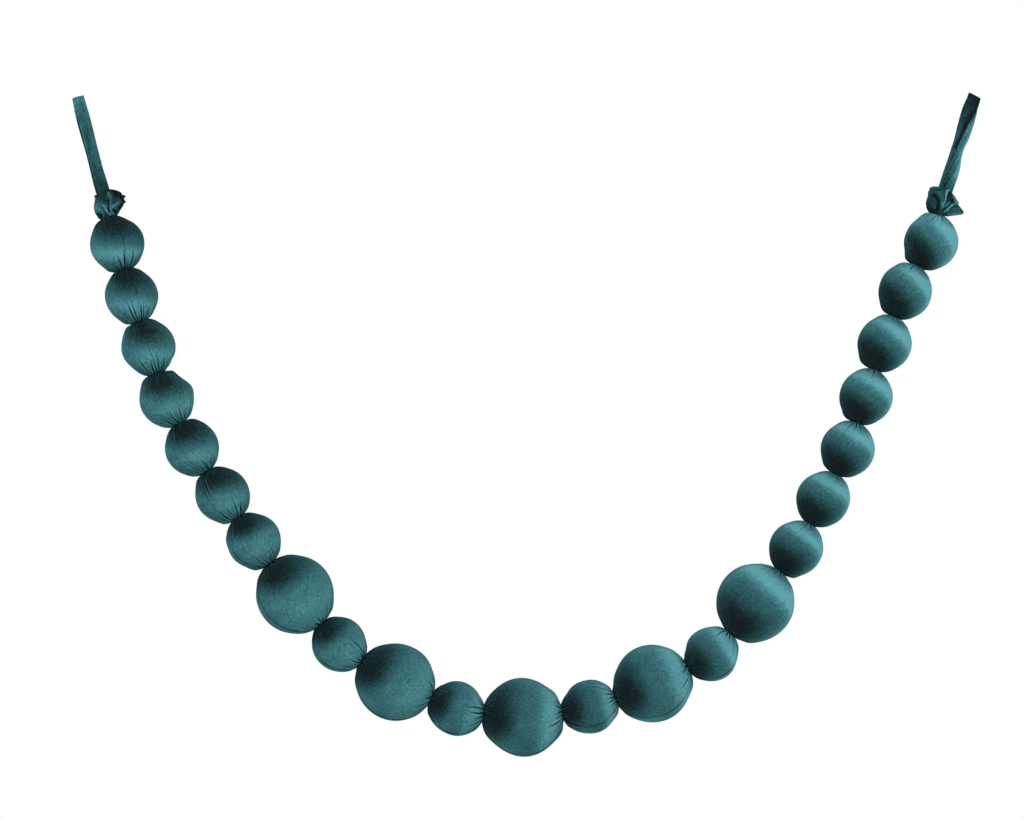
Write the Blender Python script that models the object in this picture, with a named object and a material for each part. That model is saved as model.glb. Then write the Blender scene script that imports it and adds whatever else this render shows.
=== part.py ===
# Velvet ball garland, hanging in a deep curve from two strap loops.
#
# One sewn tube of velvet is filled with balls of two sizes and drawn in between
# them, so it is a row of round bulges with gathered necks. Past the first and the
# last ball its raw end flares into a folded frill, and a narrow velvet strap,
# doubled into a loop, stands in each frill.
#
# Metres, +Z up, +X from the left loop to the right one, -Y towards the viewer.
# The origin is where a hook bears, inside the top fold of the left loop.

import math

import bmesh
import bpy
import numpy as np

MM = 1000.0

# Balls, as they measure over the velvet
SMALL_RADIUS = 0.0225
LARGE_RADIUS = 0.0325
FIRST_BALL_X = 0.0318
FIRST_BALL_Z = -0.1222

# Necks between the balls
NECK_RADIUS = 0.0058
GATHER_DEPTH = 0.13
GATHER_REACH_DEG = 26.0

# Facets of the tube
AROUND = 16
BALL_RINGS = 9
FIRST_RING_DEG = 20.0

# Frills at the two raw ends
CLOTH = 0.0014
FRILL_SPLIT = 3
FRILL_RINGS = 5
FRILL_BELL = 1.8
POCKET_RINGS = 3
POCKET_FLOOR = 0.0060
POCKET_WIDE = 0.0070
POCKET_DEEP = 0.0046

# Strap loops
STRAP_WIDTH = 0.0100
STRAP_CLOTH = 0.0014
STRAP_FOLD_RADIUS = 0.0037
STRAP_TIED_GAP = 0.0011
STRAP_SPREAD_FROM = 0.008
STRAP_SPREAD_TO = 0.040
STRAP_STEP = 0.006
FOLD_STEPS = 8

# Shading keeps the edges sharp that bend by more than this
TUBE_SHARP_DEG = 50.0
STRAP_SHARP_DEG = 40.0

RADIUS = {"small": SMALL_RADIUS, "large": LARGE_RADIUS}

# A row for each ball: its size, the length of the neck after it in millimetres,
# and the heading from its middle to the next one's in degrees above +X. The last
# heading is the neck's.
BALLS = [
    ("small", 0.2, -74.5),
    ("small", 0.2, -71.5),
    ("small", 0.8, -71.0),
    ("small", 0.8, -62.5),
    ("small", 1.2, -57.0),
    ("small", 1.4, -56.0),
    ("small", 1.5, -52.5),
    ("large", 0.9, -48.5),
    ("small", 1.0, -34.0),
    ("large", 0.8, -23.5),
    ("small", 0.8, -7.5),
    ("large", 1.1, 9.0),
    ("small", 0.7, 20.5),
    ("large", 0.5, 26.5),
    ("small", 1.4, 49.5),
    ("large", 1.5, 53.0),
    ("small", 2.0, 61.0),
    ("small", 1.2, 64.0),
    ("small", 1.4, 71.0),
    ("small", 1.8, 70.5),
    ("small", 2.0, 68.5),
    ("small", 1.2, 62.0),
    ("small", 1.4, 70.5),
]
FIRST_NECK = 1.4
FIRST_NECK_HEADING = -70.0

# The rim of each frill: degrees around the tube from the outer side of the hang
# by way of the back, then how far out and how far up it stands, in millimetres.
LEFT_RIM = [
    (0, 13.6, 16.0),
    (40, 12.0, 19.0),
    (90, 8.6, 20.5),
    (140, 11.0, 18.5),
    (180, 13.8, 15.5),
    (215, 12.6, 19.5),
    (250, 10.2, 22.4),
    (290, 9.2, 23.0),
    (325, 11.8, 20.0),
]
RIGHT_RIM = [
    (0, 18.8, 7.2),
    (25, 15.0, 11.0),
    (60, 11.0, 16.0),
    (90, 9.2, 20.0),
    (135, 10.6, 22.5),
    (180, 12.2, 22.0),
    (225, 11.2, 24.5),
    (270, 9.0, 23.0),
    (315, 11.8, 18.0),
    (340, 15.4, 11.5),
]

# The folds of each frill: degrees around, depth in millimetres, width in degrees
LEFT_FOLDS = [
    (30, 1.8, 13),
    (68, 2.0, 14),
    (108, 1.9, 14),
    (148, 1.7, 13),
    (196, 1.9, 12),
    (233, 1.5, 12),
    (272, 2.2, 12),
    (312, 0.9, 12),
    (345, 1.2, 12),
]
RIGHT_FOLDS = [
    (42, 1.8, 14),
    (80, 1.9, 14),
    (120, 1.8, 14),
    (160, 1.6, 13),
    (205, 1.7, 13),
    (248, 2.0, 13),
    (290, 2.2, 13),
    (326, 1.8, 12),
]

# Each frill: the heading of the tube through it, and which way along that heading
# it stands, -1 for the left one that comes before the first ball.
FRILLS = {
    "left": {"heading": -97.0, "away": -1.0, "rim": LEFT_RIM, "folds": LEFT_FOLDS},
    "right": {"heading": 88.0, "away": 1.0, "rim": RIGHT_RIM, "folds": RIGHT_FOLDS},
}

# The straps: where a hook bears in the top fold (x, z), how far the strap leans to
# the right of upright at its top and foot, its length from there to its foot, and how
# far the back run lies to the right of the front one at the top, half way and at the foot.
STRAPS = {
    "loop_left": {
        "top": (0.0, 0.0), "lean": (-14.4, -15.4), "rise": 0.0940,
        "offset": (-0.0006, -0.0004, -0.0002),
    },
    "loop_right": {
        "top": (0.7455, 0.0), "lean": (17.2, 15.4), "rise": 0.0953,
        "offset": (0.0024, 0.0004, 0.0010),
    },
}

VELVET = (0.030, 0.105, 0.115)
STRAP_VELVET = (0.036, 0.125, 0.135)


def clear_scene():
    for old in list(bpy.data.objects):
        bpy.data.objects.remove(old, do_unlink=True)


def velvet_material(name, colour):
    material = bpy.data.materials.new(name)
    material.use_nodes = True
    shader = material.node_tree.nodes["Principled BSDF"]
    shader.inputs["Base Color"].default_value = (*colour, 1.0)
    shader.inputs["Roughness"].default_value = 0.9
    shader.inputs["Metallic"].default_value = 0.0
    return material


def along(heading_deg):
    """The unit vector in the XZ plane at a heading."""
    angle = math.radians(heading_deg)
    return np.array([math.cos(angle), 0.0, math.sin(angle)])


def outward(heading_deg):
    """The unit vector square to a heading, on the outer side of the hang."""
    angle = math.radians(heading_deg)
    return np.array([math.sin(angle), 0.0, -math.cos(angle)])


BACK = np.array([0.0, 1.0, 0.0])


def angles_around(count):
    return np.arange(count) * 2.0 * math.pi / count


def ring(centre, heading_deg, radius, count):
    """A closed ring of points square to a heading. Radius is one value or an array."""
    turn = angles_around(count)[:, None]
    reach = np.broadcast_to(np.asarray(radius, dtype=float), (count,))[:, None]
    side = outward(heading_deg)
    return centre + reach * (np.cos(turn) * side + np.sin(turn) * BACK)


def ball_centres():
    """The middle of each ball, walked from the first one by steps of two radii and a neck."""
    centre = np.array([FIRST_BALL_X, 0.0, FIRST_BALL_Z])
    centres = [centre]
    for (size, neck, heading), (next_size, _, _) in zip(BALLS, BALLS[1:]):
        step = RADIUS[size] + neck / MM + RADIUS[next_size]
        centre = centre + step * along(heading)
        centres.append(centre)
    return centres


def ball_rings(centre, radius, heading_in, heading_out):
    """Rings of one ball. Their planes turn evenly from the heading in to the one out."""
    turn = angles_around(AROUND)
    rings = []
    for polar in np.linspace(FIRST_RING_DEG, 180.0 - FIRST_RING_DEG, BALL_RINGS):
        share = (polar - FIRST_RING_DEG) / (180.0 - 2.0 * FIRST_RING_DEG)
        heading = heading_in + share * (heading_out - heading_in)
        from_pole = min(polar, 180.0 - polar)
        fade = max(0.0, 1.0 - (from_pole - FIRST_RING_DEG) / GATHER_REACH_DEG)
        gather = 1.0 + GATHER_DEPTH * fade * np.cos(AROUND / 2 * turn)
        middle = centre - radius * math.cos(math.radians(polar)) * along(heading)
        rings.append(ring(middle, heading, radius * math.sin(math.radians(polar)) * gather, AROUND))
    return rings


def rim_values(rim, turn_deg):
    """Reach and rise of the rim, read all round from its table."""
    table = np.array(rim, dtype=float)
    reach = np.interp(turn_deg, table[:, 0], table[:, 1], period=360.0)
    rise = np.interp(turn_deg, table[:, 0], table[:, 2], period=360.0)
    return reach / MM, rise / MM


def fold_troughs(folds, turn_deg):
    """The sum of the folds' bell-shaped troughs, in metres."""
    total = np.zeros_like(turn_deg)
    for middle, depth, width in folds:
        distance = (turn_deg - middle + 180.0) % 360.0 - 180.0
        total += depth / MM * np.exp(-(distance / width) ** 2)
    return total


def frill_rings(neck, frill):
    """Outer rings of a frill from above its neck to the rim, and inner ones back down."""
    turn = angles_around(AROUND * FRILL_SPLIT)
    reach, rise = rim_values(frill["rim"], np.degrees(turn))
    trough = fold_troughs(frill["folds"], np.degrees(turn))
    share = np.linspace(0.0, 1.0, FRILL_RINGS + 1)[1:, None]
    out = NECK_RADIUS + (reach - NECK_RADIUS) * (1.0 - (1.0 - share) ** FRILL_BELL)
    out = out - trough * share
    up = rise * share
    side = outward(frill["heading"])
    direction = along(frill["heading"]) * frill["away"]
    spokes = np.cos(turn)[:, None] * side + np.sin(turn)[:, None] * BACK
    outer = neck + out[..., None] * spokes + up[..., None] * direction

    across = np.roll(outer, -1, axis=1) - np.roll(outer, 1, axis=1)
    upward = np.gradient(outer, axis=0)
    normal = np.cross(across, upward)
    normal /= np.linalg.norm(normal, axis=2, keepdims=True)
    normal *= np.sign(np.sum(normal * spokes, axis=2, keepdims=True))
    inner = outer - CLOTH * normal
    floor = (
        neck
        + POCKET_FLOOR * direction
        + POCKET_WIDE * np.cos(turn)[:, None] * side
        + POCKET_DEEP * np.sin(turn)[:, None] * BACK
    )
    return list(outer), [*inner[::-1][:POCKET_RINGS], floor]


def band(first, second, count):
    """Quads between two rings with the same number of points."""
    faces = []
    for k in range(count):
        after = (k + 1) % count
        faces.append((first + k, first + after, second + after, second + k))
    return faces


def widening_band(narrow, wide, count, split):
    """Triangles between a ring and one with split times as many points."""
    faces = []
    total = count * split
    for k in range(count):
        after = narrow + (k + 1) % count
        last = wide + (k * split + split - 1) % total
        for step in range(split - 1):
            start = wide + k * split + step
            faces.append((narrow + k, start + 1, start))
        faces.append((narrow + k, after, last))
        faces.append((after, wide + (k * split + split) % total, last))
    return faces


def closed_body(name, points, faces, material, smooth_deg):
    """A mesh object from points and faces, with its normals out and its shading smooth."""
    mesh = bpy.data.meshes.new(name)
    mesh.from_pydata([tuple(point) for point in points], [], faces)
    shaped = bmesh.new()
    shaped.from_mesh(mesh)
    bmesh.ops.triangulate(shaped, faces=shaped.faces[:])
    bmesh.ops.recalc_face_normals(shaped, faces=shaped.faces[:])
    shaped.to_mesh(mesh)
    shaped.free()
    mesh.shade_smooth()
    mesh.set_sharp_from_angle(angle=math.radians(smooth_deg))
    mesh.materials.append(material)
    made = bpy.data.objects.new(name, mesh)
    bpy.context.collection.objects.link(made)
    return made


def tube_rings():
    """Every ring of the velvet tube in order, from the left pocket to the right one."""
    centres = ball_centres()
    headings = [FIRST_NECK_HEADING, *[row[2] for row in BALLS]]
    first_radius = RADIUS[BALLS[0][0]] + FIRST_NECK / MM / 2.0
    first_neck = centres[0] - first_radius * along(headings[0])

    outer, inner = frill_rings(first_neck, FRILLS["left"])
    rings = [*inner[::-1], *outer[::-1]]
    turned = (headings[0] + FRILLS["left"]["heading"]) / 2.0
    rings.append(ring(first_neck, turned, NECK_RADIUS, AROUND))

    for index, (size, neck, heading) in enumerate(BALLS):
        radius = RADIUS[size]
        rings += ball_rings(centres[index], radius, headings[index], heading)
        neck_point = centres[index] + (radius + neck / MM / 2.0) * along(heading)
        last = index == len(BALLS) - 1
        turned = (heading + FRILLS["right"]["heading"]) / 2.0 if last else heading
        rings.append(ring(neck_point, turned, NECK_RADIUS, AROUND))

    outer, inner = frill_rings(neck_point, FRILLS["right"])
    return [*rings, *outer, *inner]


def make_tube():
    rings = tube_rings()
    starts = np.cumsum([0, *[len(points) for points in rings]])
    faces = [tuple(range(len(rings[0])))[::-1]]
    for index in range(len(rings) - 1):
        here, there = len(rings[index]), len(rings[index + 1])
        first, second = int(starts[index]), int(starts[index + 1])
        if here == there:
            faces += band(first, second, here)
        elif here < there:
            faces += widening_band(first, second, here, FRILL_SPLIT)
        else:
            faces += widening_band(second, first, there, FRILL_SPLIT)
    last = int(starts[-2])
    faces.append(tuple(range(last, last + len(rings[-1]))))
    material = velvet_material("velvet", VELVET)
    return closed_body("velvet_tube", np.vstack(rings), faces, material, TUBE_SHARP_DEG)


def strap_frame(strap, depth):
    """Middle of a strap at a depth below its top fold, and its directions across and up.

    The strap bends as an arc, whose chord runs at the mean of the leans at its ends.
    """
    lean_top, lean_foot = (math.radians(lean) for lean in strap["lean"])
    lean = lean_top + (lean_foot - lean_top) * depth / strap["rise"]
    chord = (lean_top + lean) / 2.0
    x, z = strap["top"]
    middle = np.array([x - depth * math.sin(chord), 0.0, z - depth * math.cos(chord)])
    across = np.array([math.cos(lean), 0.0, -math.sin(lean)])
    upward = np.array([math.sin(lean), 0.0, math.cos(lean)])
    return middle, across, upward


def strap_section(middle, across, out, reach, sideways):
    """Corners of a strap's cross-section, reach along out and sideways across from a point."""
    centre = middle + reach * out + sideways * across
    half = STRAP_WIDTH / 2.0 * across
    wall = STRAP_CLOTH / 2.0 * out
    return [centre - half + wall, centre + half + wall, centre + half - wall, centre - half - wall]


def strap_run(strap, face):
    """Sections of one run from its top to its foot. face is -1 for the front, +1 for the back."""
    start = STRAP_FOLD_RADIUS - STRAP_CLOTH / 2.0
    steps = int(round((strap["rise"] - start) / STRAP_STEP))
    sections = []
    for depth in np.linspace(start, strap["rise"], steps + 1):
        height = strap["rise"] - depth
        share = (height - STRAP_SPREAD_FROM) / (STRAP_SPREAD_TO - STRAP_SPREAD_FROM)
        share = min(1.0, max(0.0, share))
        spread = share * share * (3.0 - 2.0 * share)
        reach = STRAP_TIED_GAP + (STRAP_FOLD_RADIUS - STRAP_TIED_GAP) * spread
        shift = np.interp(depth, [start, strap["rise"] / 2.0, strap["rise"]], strap["offset"])
        middle, across, _ = strap_frame(strap, depth)
        sections.append(strap_section(middle, across, face * BACK, reach, face * shift / 2.0))
    return sections


def strap_fold(strap):
    """Sections over the top fold, a half circle from the front run to the back one."""
    start = STRAP_FOLD_RADIUS - STRAP_CLOTH / 2.0
    middle, across, upward = strap_frame(strap, start)
    sections = []
    for step in range(1, FOLD_STEPS):
        angle = math.pi * step / FOLD_STEPS
        out = math.sin(angle) * upward - math.cos(angle) * BACK
        sideways = -math.cos(angle) * strap["offset"][0] / 2.0
        sections.append(strap_section(middle, across, out, STRAP_FOLD_RADIUS, sideways))
    return sections


def make_strap(name, material):
    """A strap up the front, over its top fold and down the back."""
    strap = STRAPS[name]
    sections = [*strap_run(strap, -1.0)[::-1], *strap_fold(strap), *strap_run(strap, 1.0)]
    points = np.array(sections).reshape(-1, 3)
    faces = [(3, 2, 1, 0)]
    for index in range(len(sections) - 1):
        faces += band(4 * index, 4 * index + 4, 4)
    last = 4 * (len(sections) - 1)
    faces.append((last, last + 1, last + 2, last + 3))
    return closed_body(name, points, faces, material, STRAP_SHARP_DEG)


def main():
    clear_scene()
    make_tube()
    strap_velvet = velvet_material("strap_velvet", STRAP_VELVET)
    for name in STRAPS:
        make_strap(name, strap_velvet)


main()
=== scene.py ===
import math

import bpy
import numpy as np
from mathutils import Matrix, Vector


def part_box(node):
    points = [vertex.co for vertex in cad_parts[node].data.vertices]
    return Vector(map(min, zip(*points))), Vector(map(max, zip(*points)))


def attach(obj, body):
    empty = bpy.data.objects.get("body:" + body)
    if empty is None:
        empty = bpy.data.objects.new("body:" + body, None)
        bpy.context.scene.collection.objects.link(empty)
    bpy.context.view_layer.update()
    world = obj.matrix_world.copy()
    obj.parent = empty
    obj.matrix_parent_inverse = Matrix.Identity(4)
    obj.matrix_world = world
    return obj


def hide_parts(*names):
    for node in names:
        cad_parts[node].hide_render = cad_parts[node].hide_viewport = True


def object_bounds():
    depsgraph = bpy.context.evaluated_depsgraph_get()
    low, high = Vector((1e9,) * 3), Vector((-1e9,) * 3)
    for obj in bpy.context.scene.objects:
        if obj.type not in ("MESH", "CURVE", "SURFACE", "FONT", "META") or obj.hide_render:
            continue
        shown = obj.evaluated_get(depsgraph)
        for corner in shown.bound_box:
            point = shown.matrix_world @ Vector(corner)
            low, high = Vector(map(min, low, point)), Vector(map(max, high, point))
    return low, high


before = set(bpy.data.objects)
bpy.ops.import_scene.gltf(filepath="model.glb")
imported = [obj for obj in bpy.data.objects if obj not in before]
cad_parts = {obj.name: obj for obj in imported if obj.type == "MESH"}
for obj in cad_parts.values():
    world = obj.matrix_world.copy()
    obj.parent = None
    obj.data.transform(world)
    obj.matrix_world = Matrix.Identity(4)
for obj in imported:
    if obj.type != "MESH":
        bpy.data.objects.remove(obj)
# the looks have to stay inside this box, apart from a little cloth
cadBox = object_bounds()  # the parts' box, which the floor and the lights are set from

mm = 0.001
back = np.array([0.0, 1.0, 0.0])  # away from the viewer


# 0 below 0, 1 above 1, and 3 x squared less 2 x cubed between.
def smoothStep(x):
    x = np.clip(x, 0.0, 1.0)
    return x * x * (3.0 - 2.0 * x)


# An angle in radians brought between minus half a turn and half a turn.
def wrapped(turn):
    return (turn + np.pi) % (2.0 * np.pi) - np.pi


# The unit vector at a heading in degrees above +X: its cosine along X and its sine along Z.
def along(heading):
    turn = np.radians(heading)
    return np.stack([np.cos(turn), np.zeros_like(turn), np.sin(turn)], axis=-1)


# The unit vector square to a heading, on the outer side of the garland's curve.
def outward(heading):
    turn = np.radians(heading)
    return np.stack([np.sin(turn), np.zeros_like(turn), -np.cos(turn)], axis=-1)


# The camera and the set

studio = {
    "viewWidth": 853.33 * mm,  # what the camera takes in at the garland
    "centreX": 360.92 * mm,
    "centreZ": -260.42 * mm,
    "lens": 85.0,
    "sensor": 36.0,
    "floorDrop": 260.0 * mm,   # how far the floor is below the garland
    "floorX": (-1.0, 1.8),
    "floorY": (-1.2, 0.9),
    "floorGrey": 0.86,
    "floorRoughness": 0.9,
    "sky": 1.0,
    "key": ((-0.6, -1.8, 1.1), 1.2, 9.0),  # the place from the garland's middle, the width, the watts
    "fill": ((1.0, -1.6, 0.2), 1.5, 5.0),
}


def makeCamera():
    camera = bpy.data.objects.new("camera", bpy.data.cameras.new("camera"))
    bpy.context.scene.collection.objects.link(camera)
    camera.data.lens = studio["lens"]
    camera.data.sensor_width = studio["sensor"]
    distance = studio["lens"] / studio["sensor"] * studio["viewWidth"]
    camera.location = (studio["centreX"], -distance, studio["centreZ"])
    camera.rotation_euler = (math.radians(90.0), 0.0, 0.0)
    bpy.context.scene.camera = camera
    print("camera made")


def softLight(name, place, aim, size, watts):
    light = bpy.data.lights.new(name, "AREA")
    light.shape = "DISK"
    light.size = size
    light.energy = watts
    made = bpy.data.objects.new(name, light)
    made.location = place
    made.rotation_euler = (aim - place).to_track_quat("-Z", "Y").to_euler()
    bpy.context.scene.collection.objects.link(made)


def makeStudio():
    low, high = cadBox
    world = bpy.data.worlds.new("studio")
    bpy.context.scene.world = world
    world.use_nodes = True
    world.node_tree.nodes["Background"].inputs["Color"].default_value = (1.0, 1.0, 1.0, 1.0)
    world.node_tree.nodes["Background"].inputs["Strength"].default_value = studio["sky"]
    middle = (Vector(low) + Vector(high)) / 2.0
    for name in ("key", "fill"):
        offset, size, watts = studio[name]
        softLight(name, middle + Vector(offset), middle, size, watts)

    (x0, x1), (y0, y1), z = studio["floorX"], studio["floorY"], low[2] - studio["floorDrop"]
    corners = [(x0, y0, z), (x1, y0, z), (x1, y1, z), (x0, y1, z)]
    mesh = bpy.data.meshes.new("floor")
    mesh.from_pydata(corners, [], [(0, 1, 2, 3)])
    material = bpy.data.materials.new("floor")
    material.use_nodes = True
    shader = material.node_tree.nodes["Principled BSDF"]
    shader.inputs["Base Color"].default_value = (*[studio["floorGrey"]] * 3, 1.0)
    shader.inputs["Roughness"].default_value = studio["floorRoughness"]
    mesh.materials.append(material)
    floor = bpy.data.objects.new("floor", mesh)
    bpy.context.scene.collection.objects.link(floor)
    bpy.context.scene.view_settings.view_transform = "Standard"
    print("floor and lights made")


# Velvet

velvet = {
    # The tones paint the velvet's nap sheen and shade into its colour: the dark end is painted shade, the
    # light end painted sheen.
    "tones": [  # from where the nap lies darkest to where it catches the most light
        (0.00, (0.0050, 0.0098, 0.0116)),
        (0.12, (0.0066, 0.0172, 0.0190)),
        (0.31, (0.0115, 0.0455, 0.0515)),
        (0.57, (0.0280, 0.1060, 0.1180)),
        (0.77, (0.0560, 0.1900, 0.2100)),
        (1.00, (0.1050, 0.3100, 0.3500)),
    ],
    "roughness": 0.9,
    "specular": 0.02,
    "sheen": 0.08,
    "sheenRoughness": 0.4,
    "sheenTint": (0.35, 0.85, 0.92),
    "noiseRoughness": 0.6,
    "crush": (70.0, 0.08),     # patches of crushed pile: how many to the metre, and how strong
    "mottle": (360.0, 0.17),
    "speckle": (760.0, 0.20),
    "ribs": (1700.0, 0.06),    # the same of the fine lengthwise ribs of the knitted ground
    "ribStretch": 12.0,
    "seamTone": 0.42,
    "grain": (3200.0, 0.10 * mm),  # the pile's relief: how fine, and how high
    "grainStrength": 0.7,
    "ribRelief": 0.5,          # how much the ribs add to that relief
}


# Sets a node's inputs by name, with an underscore for each space.
def setValues(node, **values):
    for key, value in values.items():
        node.inputs[key.replace("_", " ")].default_value = value
    return node


# Short-pile velvet. The tone attribute is the painted sheen and shade of the nap, from 0 to 1; noises of
# four sizes stir it, the seam attribute darkens it along the seam, and a ramp turns it into the base
# colour, which so carries the painted light and shade.
def velvetMaterial(name, look):
    material = bpy.data.materials.new(name)
    material.use_nodes = True
    nodes, links = material.node_tree.nodes, material.node_tree.links
    shader = nodes["Principled BSDF"]

    def attribute(key):
        node = nodes.new("ShaderNodeAttribute")
        node.attribute_name = key
        return node.outputs["Fac"]

    def noise(place, scale, detail, stretch=None):
        if stretch:
            mapping = setValues(nodes.new("ShaderNodeMapping"), Scale=stretch)
            links.new(place, mapping.inputs["Vector"])
            place = mapping.outputs["Vector"]
        node = setValues(nodes.new("ShaderNodeTexNoise"), Scale=scale, Detail=detail)
        setValues(node, Roughness=look["noiseRoughness"])
        links.new(place, node.inputs["Vector"])
        return node.outputs["Fac"]

    # The result of a math node, each of whose inputs is a fixed number or another node's output.
    def maths(operation, *sources):
        node = nodes.new("ShaderNodeMath")
        node.operation = operation
        for socket, source in zip(node.inputs, sources):
            if isinstance(source, float):
                socket.default_value = source
            else:
                links.new(source, socket)
        return node.outputs[0]

    # The first number, plus a strength times the second less its middle.
    def stir(tone, source, strength, middle=0.5):
        return maths("MULTIPLY_ADD", source, strength, maths("SUBTRACT", tone, strength * middle))

    place = nodes.new("ShaderNodeTexCoord").outputs["Object"]
    cloth = nodes.new("ShaderNodeUVMap")
    cloth.uv_map = "cloth"
    ribScale, ribTone = look["ribs"]
    grainScale, grainHeight = look["grain"]
    tone = attribute("tone")
    for key, detail in (("crush", 3.0), ("mottle", 2.0), ("speckle", 1.0)):
        scale, strength = look[key]
        tone = stir(tone, noise(place, scale, detail), 2.0 * strength)
    ribs = noise(cloth.outputs["UV"], ribScale, 1.0, (1.0, 1.0 / look["ribStretch"], 1.0))
    tone = stir(tone, ribs, 2.0 * ribTone)
    tone = stir(tone, maths("MAXIMUM", attribute("seam"), 0.0), -look["seamTone"], 0.0)

    ramp = nodes.new("ShaderNodeValToRGB")
    elements = ramp.color_ramp.elements
    while len(elements) < len(look["tones"]):
        elements.new(0.5)
    for element, (position, colour) in zip(elements, look["tones"]):
        element.position = position
        element.color = (*colour, 1.0)
    links.new(tone, ramp.inputs["Fac"])
    links.new(ramp.outputs["Color"], shader.inputs["Base Color"])

    bump = setValues(nodes.new("ShaderNodeBump"), Strength=look["grainStrength"], Distance=grainHeight)
    links.new(stir(noise(place, grainScale, 2.0), ribs, look["ribRelief"]), bump.inputs["Height"])
    links.new(bump.outputs["Normal"], shader.inputs["Normal"])
    setValues(shader, Roughness=look["roughness"], Specular_IOR_Level=look["specular"])
    setValues(shader, Sheen_Weight=look["sheen"], Sheen_Roughness=look["sheenRoughness"])
    setValues(shader, Sheen_Tint=(*look["sheenTint"], 1.0))
    return material


# Unit normals of a grid of points, from the cross product of the steps across and along it.
def gridNormals(points, wrap):
    lengthwise = np.gradient(points, axis=0)
    if wrap:
        across = np.roll(points, -1, axis=1) - np.roll(points, 1, axis=1)
    else:
        across = np.gradient(points, axis=1)
    normals = np.cross(across, lengthwise)
    return normals / np.maximum(np.linalg.norm(normals, axis=2, keepdims=True), 1e-12)


# A mesh piece from a grid of points, whose rows run along the tube and whose columns run across it or
# round it. Where it wraps, the last column joins the first. Caps close the end rings with a fan.
def clothPiece(name, points, wrap, caps, uv, attributes, material):
    rows, cols = points.shape[:2]
    index = np.arange(rows * cols).reshape(rows, cols)
    left = index if wrap else index[:, :-1]
    right = np.roll(index, -1, axis=1) if wrap else index[:, 1:]
    faces = np.stack([left[:-1], right[:-1], right[1:], left[1:]], axis=-1).reshape(-1, 4).tolist()
    uvIndex = np.arange(uv.shape[0] * uv.shape[1]).reshape(uv.shape[:2])
    corners = [uvIndex[:-1, :-1], uvIndex[:-1, 1:], uvIndex[1:, 1:], uvIndex[1:, :-1]]
    loopUv = uv.reshape(-1, 2)[np.stack(corners, axis=-1).reshape(-1)]
    flat = points.reshape(-1, 3)
    if caps:
        flat = np.vstack([flat, flat[:cols].mean(axis=0), flat[-cols:].mean(axis=0)])
        first, last = index[0], index[-1]
        tips = np.full(cols, rows * cols)
        faces += np.stack([np.roll(first, -1), first, tips], axis=-1).tolist()
        faces += np.stack([last, np.roll(last, -1), tips + 1], axis=-1).tolist()
        loopUv = np.vstack([loopUv, np.tile(uv[0, 0], (3 * cols, 1)), np.tile(uv[-1, 0], (3 * cols, 1))])
    mesh = bpy.data.meshes.new(name)
    mesh.from_pydata(flat.tolist(), [], faces)
    mesh.uv_layers.new(name="cloth").data.foreach_set("uv", loopUv.astype(np.float32).ravel())
    for key, values in attributes.items():
        values = np.broadcast_to(values, (rows, cols)).reshape(-1)
        if caps:
            values = np.append(values, [values[:cols].mean(), values[-cols:].mean()])
        mesh.attributes.new(key, "FLOAT", "POINT").data.foreach_set("value", values.astype(np.float32))
    mesh.shade_smooth()
    mesh.materials.append(material)
    made = bpy.data.objects.new(name, mesh)
    bpy.context.scene.collection.objects.link(made)
    return made


# The balls

hang = {
    "smallRadius": 22.5 * mm,
    "largeRadius": 32.5 * mm,
    "firstNeck": 1.4 * mm,
    "firstNeckHeading": -70.0,
}

# A row for each ball: its size, the neck after it in mm, the heading to the next ball, the angle of
# its seam round the tube, and the turn of its painted dark side towards the inner side of the curve.
ballRows = [
    ("small", 0.2, -74.5, -112, 19),
    ("small", 0.2, -71.5, -110, 18),
    ("small", 0.8, -71.0, -98, 16),
    ("small", 0.8, -62.5, -85, 14),
    ("small", 1.2, -57.0, -75, 18),
    ("small", 1.4, -56.0, -65, 16),
    ("small", 1.5, -52.5, -40, 10),
    ("large", 0.9, -48.5, -38, 10),
    ("small", 1.0, -34.0, -38, 13),
    ("large", 0.8, -23.5, -27, 9),
    ("small", 0.8, -7.5, -33, 8),
    ("large", 1.1, 9.0, -26, 7),
    ("small", 0.7, 20.5, -52, 4),
    ("large", 0.5, 26.5, -40, 4),
    ("small", 1.4, 49.5, -34, 6),
    ("large", 1.5, 53.0, -20, 4),
    ("small", 2.0, 61.0, -5, 5),
    ("small", 1.2, 64.0, -5, 8),
    ("small", 1.4, 71.0, -2, 13),
    ("small", 1.8, 70.5, 0, 16),
    ("small", 2.0, 68.5, 0, 19),
    ("small", 1.2, 62.0, 0, 22),
    ("small", 1.4, 70.5, -2, 30),
]
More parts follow.
